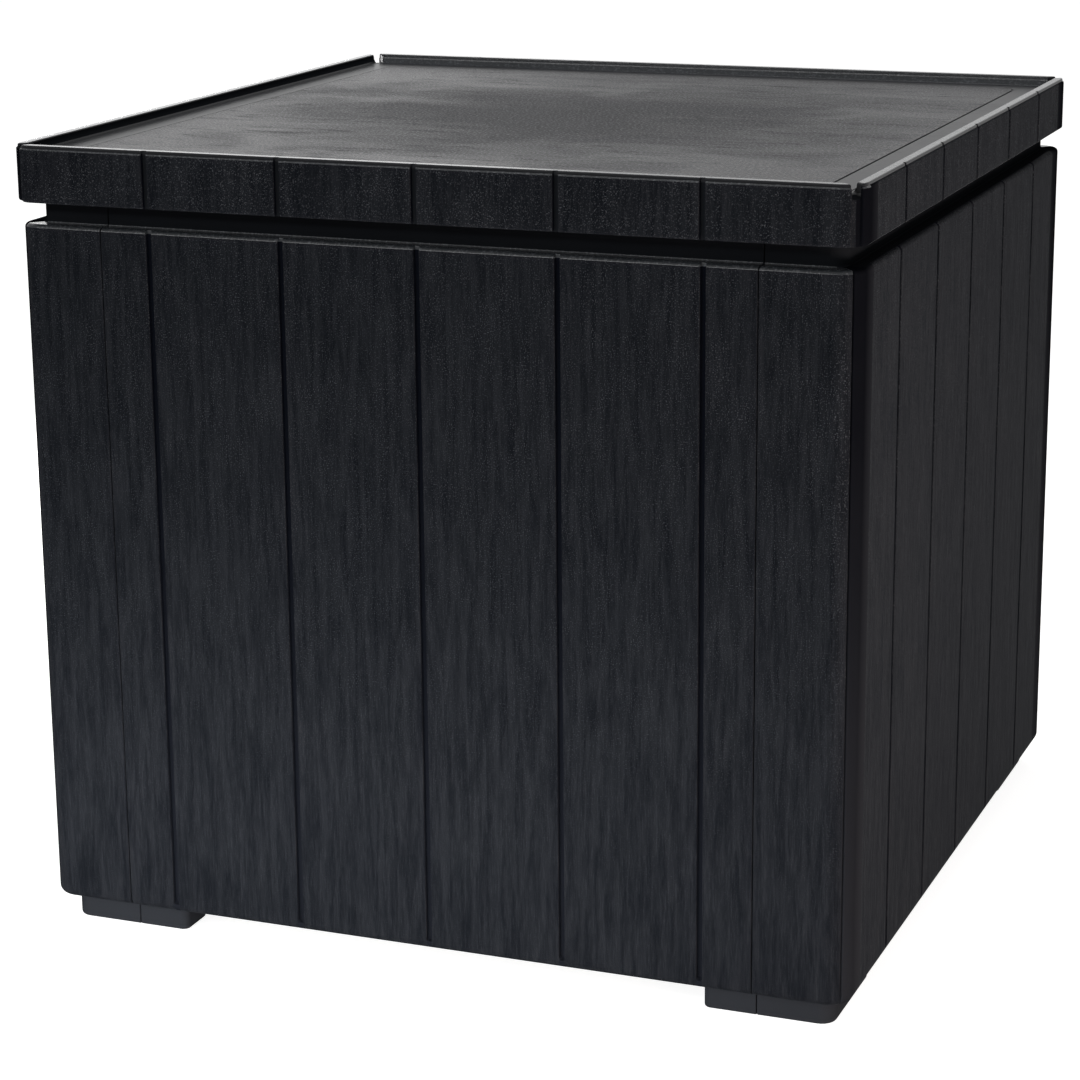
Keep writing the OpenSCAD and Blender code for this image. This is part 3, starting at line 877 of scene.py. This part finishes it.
@dataclass
class Lid(Planked):
    """The lid: planked skirt, rim with drain notches, and the tray with its raised middle."""

    half: float = 221.8
    bottom: float = 387.5
    bottom_round: float = 1.5
    plank_top: float = 415.0
    top: float = 416.5
    rim_set: float = 0.8
    rim_width: float = 5.2
    rim_round: float = 0.8
    tray: float = 411.5
    cove: float = 4.0
    seam: float = 10.0
    seam_deep: float = 0.3
    field: float = 24.8
    field_rise: float = 0.15
    field_corner: float = 12.0
    field_groove: float = 0.9
    field_groove_deep: float = 0.45
    under: float = 20.0
    under_corner: float = 8.8
    rib: float = 1.8
    ribs: int = 5
    rib_low: float = 396.7
    rib_span: float = 440.0
    gusset: float = 8.0
    notch_lip: Furrow = Furrow(((2.85, 0.9), (3.0, 0.4), (3.25, 0.12), (3.6, 0)))
    notch_floor: Furrow = Furrow(((0.0, 0.0), (1.9, 0.0), (2.35, 0.25), (2.65, 0.9), (2.78, 2.4)))
    notch_fall: float = 2.4
    notch_start: float = 5.0
    channel: float = 1.8
    # How far a drain's faces are looked for, from the corner's axis inwards and to each side
    drain_in: float = 6.0
    drain_side: float = 40.0
    # Reach of the edges with painted highlight: behind the planks, below their top and above their foot
    edge_in: float = 1.2
    edge_top: float = 0.8
    edge_foot: float = 0.7

    def radius(self, inset: float) -> float:
        """Corner radius of the lid at an inset from its plank faces."""
        if inset < self.seam + 1:
            return max(self.corner - self.seam, self.corner - inset)
        return self.under_corner if inset < self.field - 1 else self.field_corner + self.field - inset

    def shell(self) -> BMesh:
        """Loft the lid from under the tray, round the skirt and over the rim to the middle of the tray.

        Returns:
            The mesh, closed all round.
        """
        under = self.tray - self.skin
        rim_in = self.rim_set + self.rim_width
        seam_floor, groove_floor = self.tray - self.seam_deep, self.tray - self.field_groove_deep
        points = section([
            Bend(self.under, under), Bend(self.inner, under, 1.0, 3), Bend(self.inner, self.bottom, 0.5, 2),
            Bend(0, self.bottom, self.bottom_round, 5), Bend(0, self.plank_top, self.rim_set - 0.001, 5),
            Bend(self.rim_set, self.plank_top), Bend(self.rim_set, self.top, self.rim_round, 5),
            Bend(rim_in, self.top, self.rim_round, 5), Bend(rim_in, self.tray, self.cove, 8),
            Bend(self.seam + 0.1, seam_floor), Bend(self.seam + 0.3, seam_floor),
            Bend(self.seam + 0.4, self.tray), Bend(self.field - self.field_groove, self.tray),
            Bend(self.field - self.field_groove + 0.15, groove_floor), Bend(self.field, groove_floor),
            Bend(self.field + 0.15, self.tray + self.field_rise),
        ])
        bm = bmesh.new()
        last = sweep(bm, self.half, points, self.radius, self.corner_steps)
        first = [e for e in bm.edges if e.is_boundary and e.verts[0].co.z < self.tray - 1]
        bmesh.ops.contextual_create(bm, geom=first)
        bmesh.ops.contextual_create(bm, geom=last)
        bmesh.ops.recalc_face_normals(bm, faces=bm.faces)
        return bm

    def hang_ribs(self, bm: BMesh) -> None:
        """Draw the crossing ribs down from the underside of the tray and add the gussets inside the skirt.

        Args:
            bm: The mesh of the lid.
        """
        under = self.tray - self.skin
        places = [((k + 0.5) / self.ribs - 0.5) * self.rib_span for k in range(self.ribs)]

        def below() -> list[BMFace]:
            """Faces of the tray's underside."""
            return [f for f in bm.faces if abs(f.calc_center_median().z - under) < 0.01]

        for axis in (0, 1):
            for place in places:
                for side in (-self.rib / 2, self.rib / 2):
                    slice_at(bm, below(), along(axis) * (place + side), along(axis))
        strips = [f for f in below() if any(
            abs(f.calc_center_median()[a] - p) < self.rib / 2 for a in (0, 1) for p in places)]
        grown = bmesh.ops.extrude_face_region(bm, geom=strips)["geom"]
        moved = [g for g in grown if isinstance(g, BMVert)]
        bmesh.ops.translate(bm, verts=moved, vec=(0, 0, self.rib_low - under))
        far = self.half - self.inner + 0.5
        near = self.half - self.gusset - self.rib
        for quarter in range(4):
            for place in places:
                gusset = block(bm, (near, place - self.rib / 2, self.bottom + 3),
                               (far, place + self.rib / 2, under), 0.3)
                turned(bm, gusset, quarter)

    def is_outside(self, face: BMFace) -> bool:
        """Whether a face belongs to the skirt's outside or the rim."""
        middle = face.calc_center_median()
        return self.inset(middle) < self.inner - 0.2 and middle.z < self.top + 0.01

    def carve(self, bm: BMesh) -> None:
        """Press the grooves into the skirt and the rim's outer face, and the drains through the corners.

        Args:
            bm: The mesh of the lid.
        """
        self.score(bm, self.is_outside)
        for vert in each(v for f in bm.faces if self.is_outside(f) for v in f.verts):
            side = 0 if abs(vert.co.x) > abs(vert.co.y) else 1
            depth = self.furrow.depth(min(abs(vert.co[1 - side] - g) for g in self.grooves))
            limit = self.half - depth
            if depth and abs(vert.co[side]) > limit:
                vert.co[side] = math.copysign(limit, vert.co[side])
        for signs in product((-1, 1), repeat=2):
            self.drain(bm, Vector((*signs, 0)))

    def drain(self, bm: BMesh, corner: Vector) -> None:
        """Press one drain notch and the channel below it into a corner.

        Args:
            bm: The mesh of the lid.
            corner: Signs of the corner's place along X and Y.
        """
        axis = corner * self.axis
        out = corner.normalized()
        across = Vector((out.y, -out.x, 0))

        def near() -> list[BMFace]:
            """Faces of the rim, the tray and the skirt's outside round the corner."""
            found = []
            for face in bm.faces:
                middle = face.calc_center_median()
                from_axis = middle - axis
                close = from_axis.dot(out) > -self.drain_in and abs(from_axis.dot(across)) < self.drain_side
                if close and (middle.z > self.tray - 0.01 or self.inset(middle) < self.inner - 0.2):
                    found.append(face)
            return found

        rows = [d for d, _ in (*self.notch_floor.rows, *self.notch_lip.rows)]
        for place in sorted({s * d for d in rows for s in (-1, 1)}):
            slice_at(bm, [f for f in near() if (f.calc_center_median() - axis).dot(out) > 0],
                     axis + across * place, across)
        for vert in each(v for f in near() for v in f.verts):
            self.pour(vert, axis, out, across)

    def pour(self, vert: BMVert, axis: Vector, out: Vector, across: Vector) -> None:
        """Move one point of a corner onto the notch's lip, its floor or the channel below it.

        Args:
            vert: The point.
            axis: Place of the corner's axis.
            out: Direction from the axis to the corner.
            across: Direction across the notch.
        """
        channel = self.corner - self.channel
        from_axis = vert.co - axis
        from_axis.z = 0
        wide = abs(from_axis.dot(across))
        far = from_axis.length
        if wide >= self.notch_lip.reach or from_axis.dot(out) < 0.5:
            return
        if wide > self.notch_floor.reach + 0.01:
            drop = self.notch_lip.depth(wide)
            if vert.co.z > self.tray + 0.01:
                vert.co.z = max(self.tray, vert.co.z - drop)
            if far > channel:
                vert.co.xy = (axis + from_axis * (max(channel, far - drop) / far)).xy
            return
        rise = self.notch_floor.depth(wide)
        fall = self.notch_fall * min(1.0, max(0.0, far - self.notch_start) / (channel - self.notch_start))
        vert.co.z = min(vert.co.z, self.tray + rise - fall)
        keep = min(1.0, (channel + 0.4 * rise) / far) if far else 1.0
        vert.co.xy = (axis + from_axis * keep).xy

    def finish_of(self, face: BMFace) -> Finish:
        """Finish of one face: planks grained, rim and border smooth, middle of the tray stippled, with
        painted highlight on some edges and painted shade in the grooves and on the strips.
        """
        middle = face.calc_center_median()
        inset = self.inset(middle)
        if middle.z > self.tray + 0.1 and inset > self.field:
            return Finish.STIPPLED
        if self.rim_set + self.rim_width - 0.05 < inset < self.seam - 0.6 and middle.z < self.top - 0.5:
            # Painted highlight on the rim's inner face at front and back
            if abs(middle.y) > abs(middle.x):
                return Finish.EDGE
            return Finish.PLAIN if middle.z > self.tray + 0.8 else Finish.RIM
        # Painted highlight along the top of the rim
        if middle.z > self.top - 0.1:
            return Finish.EDGE
        if middle.z > self.plank_top - 0.001 or (middle.z > self.tray - 0.6 and inset > 1.9):
            return Finish.RIM
        across = abs(middle.y) > abs(middle.x) or abs(middle.y) > self.axis
        above, below = middle.z > self.plank_top - self.edge_top, middle.z < self.bottom + self.edge_foot
        # Painted highlight on the top edges of the front and back planks and on the lower edges of the sides'
        # planks
        if inset < self.edge_in and (above if across else below):
            return Finish.EDGE
        if inset >= 2:
            return Finish.PLAIN
        # Painted shade in the grooves
        if self.is_groove(middle):
            return Finish.GROOVE
        # Painted shade on the smooth strips
        return Finish.CORNER if self.is_strip(middle) else Finish.GRAINED

    def build(self, materials: dict[Finish, Material]) -> None:
        """Make the lid and lay it over its nodes.

        Args:
            materials: The material of each finish.
        """
        bm = self.shell()
        self.carve(bm)
        self.hang_ribs(bm)
        piece = finished(bm, "tray_lid", self.finish_of, materials)
        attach(piece, "lid")
        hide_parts("lid_frame", "lid_tray")


@dataclass(frozen=True)
class FloorPanel:
    """The floor panel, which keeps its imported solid."""

    node: str = "floor_panel"

    def build(self, frame: dict) -> None:
        """Give the solid its finish.

        Args:
            frame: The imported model.
        """
        mesh = frame["nodes"][self.node].data
        mesh.materials.clear()
        mesh.materials.append(FLOOR_RESIN.material())
        LOG.info("%s: keeps its solid", self.node)


@dataclass
class Studio:
    """Camera, pale floor and soft light round the table; places are in metres and angles in radians."""

    eye: tuple[float, float, float] = (0.5815, -1.5423, 0.6235)
    yaw: float = 0.3738
    pitch: float = -0.2661
    roll: float = 0.0092
    # Focal length and picture width in pixels of the photograph
    focal: float = 3037.4
    picture: float = 1080.0
    sensor: float = 36.0
    floor_size: float = 12.0
    floor_colour: str = "#cfcfcf"
    floor_lift: float = 0.86
    sky_strength: float = 0.28
    # Middle of the table, which the lamps point at
    middle: tuple[float, float, float] = (0.0, 0.0, 0.2)

    def camera(self) -> None:
        """Stand the camera where the photograph was taken from."""
        data = bpy.data.cameras.new("camera")
        data.sensor_width = self.sensor
        data.lens = self.focal / self.picture * self.sensor
        data.clip_end = 100
        ahead = Vector((-math.sin(self.yaw) * math.cos(self.pitch), math.cos(self.yaw) * math.cos(self.pitch),
                        math.sin(self.pitch)))
        right = Vector((math.cos(self.yaw), math.sin(self.yaw), 0))
        rolled = Matrix.Rotation(self.roll, 3, ahead)
        right, up = rolled @ right, rolled @ right.cross(ahead)
        camera = bpy.data.objects.new("camera", data)
        camera.matrix_world = Matrix.Translation(self.eye) @ Matrix((right, up, -ahead)).transposed().to_4x4()
        bpy.context.collection.objects.link(camera)
        bpy.context.scene.camera = camera

    @staticmethod
    def seen(tree: Nodes) -> NodeSocket:
        """Whether a ray comes from the camera, a mirror or a glass, as one factor."""
        camera, glossy, glass = (tree.add("LightPath", out=f"Is {kind} Ray")
                                 for kind in ("Camera", "Glossy", "Transmission"))
        either = tree.add("Math", (camera, glossy), operation="MAXIMUM")
        return tree.add("Math", (either, glass), operation="MAXIMUM")

    def floor(self) -> None:
        """Lay the floor, which shows white where nothing shades it."""
        bm = bmesh.new()
        bmesh.ops.create_grid(bm, x_segments=1, y_segments=1, size=self.floor_size / 2)
        mesh = bpy.data.meshes.new("floor")
        bm.to_mesh(mesh)
        bm.free()
        # Painted board, matt: pale and plain, and lifted to white for the eye alone
        tree = Nodes(bpy.data.materials.new("matt painted board"))
        pale = tree.add("BsdfDiffuse", {"Color": linear(self.floor_colour)})
        lift = tree.add("Emission", {"Color": linear("#ffffff"), "Strength": self.floor_lift})
        lifted = tree.add("AddShader", (pale, lift))
        tree.add("OutputMaterial", {"Surface": tree.add("MixShader", (self.seen(tree), pale, lifted))})
        mesh.materials.append(tree.owner)
        floor = bpy.data.objects.new("floor", mesh)
        bpy.context.collection.objects.link(floor)

    def lamp(self, name: str, place: Sequence[float], size: Point, power: float,
             colour: str = "#ffffff") -> None:
        """Hang a soft lamp that points at the middle of the table.

        Args:
            name: Name of the lamp.
            place: Where it hangs.
            size: Its width and height.
            power: Its power in watts.
            colour: Colour of its light.
        """
        data = bpy.data.lights.new(name, "AREA")
        data.energy = power
        data.color = linear(colour)[:3]
        data.shape = "RECTANGLE"
        data.size, data.size_y = size
        lamp = bpy.data.objects.new(name, data)
        lamp.visible_camera = False
        lamp.location = place
        lamp.rotation_euler = (Vector(self.middle) - Vector(place)).to_track_quat("-Z", "Y").to_euler()
        bpy.context.collection.objects.link(lamp)

    def sky(self) -> None:
        """Light the table evenly from all round, before a white background."""
        world = bpy.data.worlds.new("studio")
        tree = Nodes(world)
        level = tree.add("MapRange", (self.seen(tree), 0, 1, self.sky_strength, 1))
        light = tree.add("Background", {"Color": linear("#ffffff"), "Strength": level})
        tree.add("OutputWorld", {"Surface": light})
        bpy.context.scene.world = world

    def build(self) -> None:
        """Set up everything that isn't part of the table."""
        self.camera()
        self.floor()
        self.lamp("front left", place=(-0.8, -2.0, 1.38), size=(1.2, 0.35), power=12.5)
        self.lamp("front low", place=(-0.06, -0.42, 0.03), size=(0.6, 0.04), power=1.5)
        self.lamp("overhead", place=(-0.3, 0.3, 2.4), size=(1.0, 1.0), power=11)
        self.lamp("right low", place=(0.76, -0.38, 0.08), size=(0.5, 0.16), power=4.4, colour="#ffeee4")
        self.lamp("back left", place=(-1.6, 2.2, 0.95), size=(1.4, 0.7), power=2.9)
        self.lamp("back low", place=(-0.85, 0.85, 0.3), size=(0.6, 0.18), power=7)
        self.sky()
        bpy.context.scene.view_settings.view_transform = "Standard"


def main() -> None:
    """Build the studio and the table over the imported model."""
    logging.basicConfig(level=logging.INFO, format="%(name)s: %(message)s")
    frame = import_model()
    Studio().build()
    materials = {finish: resin.material() for finish, resin in RESINS.items()}
    Walls().build(materials)
    Lid().build(materials)
    FloorPanel().build(frame)


if __name__ == "__main__":
    main()
